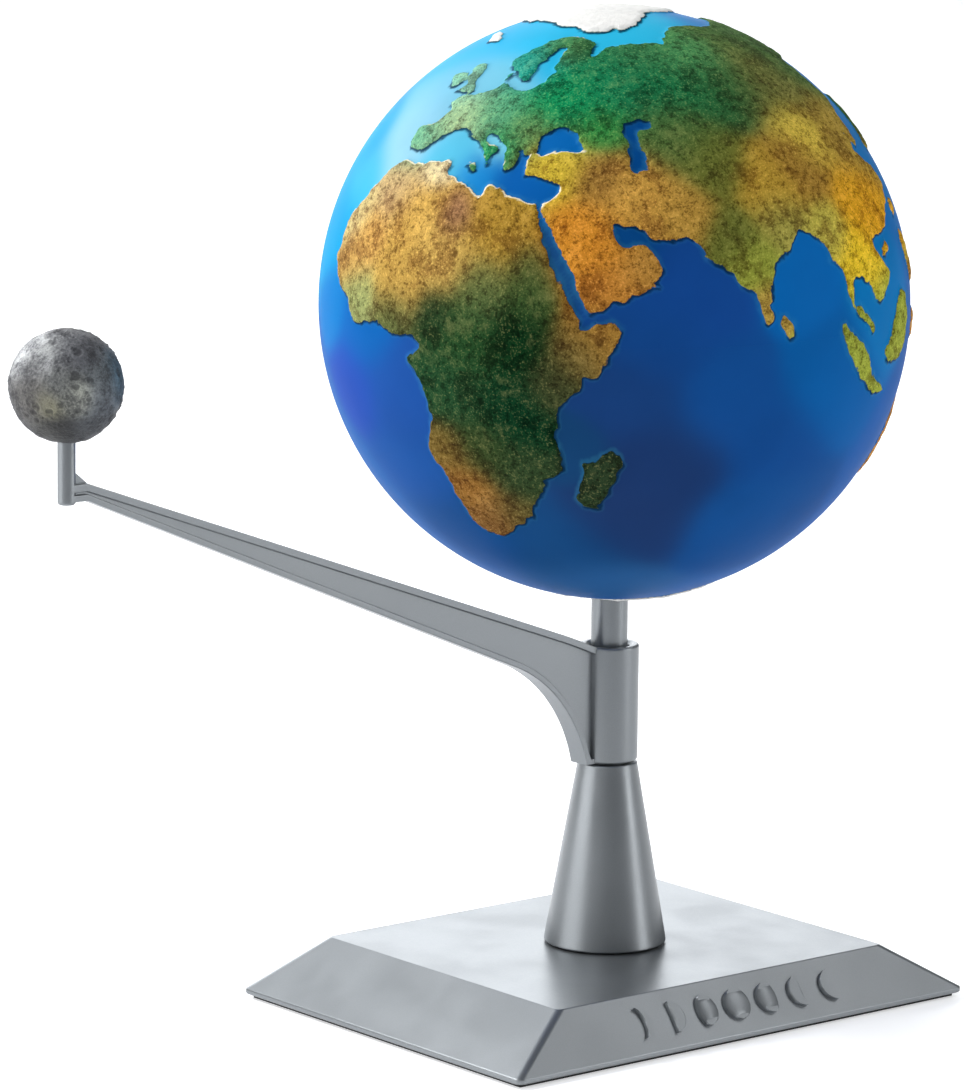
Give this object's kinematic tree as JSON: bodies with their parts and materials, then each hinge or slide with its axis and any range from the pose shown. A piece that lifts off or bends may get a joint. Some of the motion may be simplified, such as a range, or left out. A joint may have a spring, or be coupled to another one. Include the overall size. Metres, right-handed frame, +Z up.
{
  "type": "desk orrery",
  "caption": "Desk orrery: a globe that spins on an upright spindle, with a small moon on an arm that swings round it, on a low bevelled base.",
  "frame": {"origin": "centre of the base's underside, on the axis of the column and spindle", "axes": "+Z up along the spindle, the base's long side along X, the arm pointing along -X at rest"},
  "size_m": [0.19, 0.11, 0.188],
  "materials": {
    "stand_silver": "satin silver-grey moulding with a fine grain",
    "plate_grey": "plain moulded grey",
    "pad_black": "black foam anti-slip pad",
    "screw_steel": "bright plated steel",
    "earth_paint": "hand-painted oceans under gloss, raised rough continents in green, brown and tan",
    "socket_white": "plain moulded white",
    "moon_paint": "matt grey, pitted and cratered, with mottled paint"
  },
  "bodies": {
    "base": {"base_cover": "stand_silver", "base_plate": "plate_grey", "base_pad": "pad_black", "base_screw_1": "screw_steel", "base_screw_2": "screw_steel", "base_screw_3": "screw_steel", "base_screw_4": "screw_steel", "column": "stand_silver", "column_screw_1": "screw_steel", "column_screw_2": "screw_steel", "spindle": "stand_silver", "spindle_screw": "screw_steel"},
    "arm": {"arm": "stand_silver"},
    "earth": {"earth_south": "earth_paint", "earth_north": "earth_paint", "earth_socket": "socket_white"},
    "moon": {"moon_lower": "moon_paint", "moon_upper": "moon_paint"}
  },
  "joints": [
    {"name": "earth_spin", "type": "hinge", "parent": "base", "child": "earth", "pos_m": [0, 0, 0.133], "axis": [0, 0, 1], "continuous": true},
    {"name": "arm_orbit", "type": "hinge", "parent": "base", "child": "arm", "pos_m": [0, 0, 0.0463], "axis": [0, 0, 1], "continuous": true},
    {"name": "moon_spin", "type": "hinge", "parent": "arm", "child": "moon", "pos_m": [-0.125, 0, 0.1293], "axis": [0, 0, 1], "continuous": true}
  ]
}
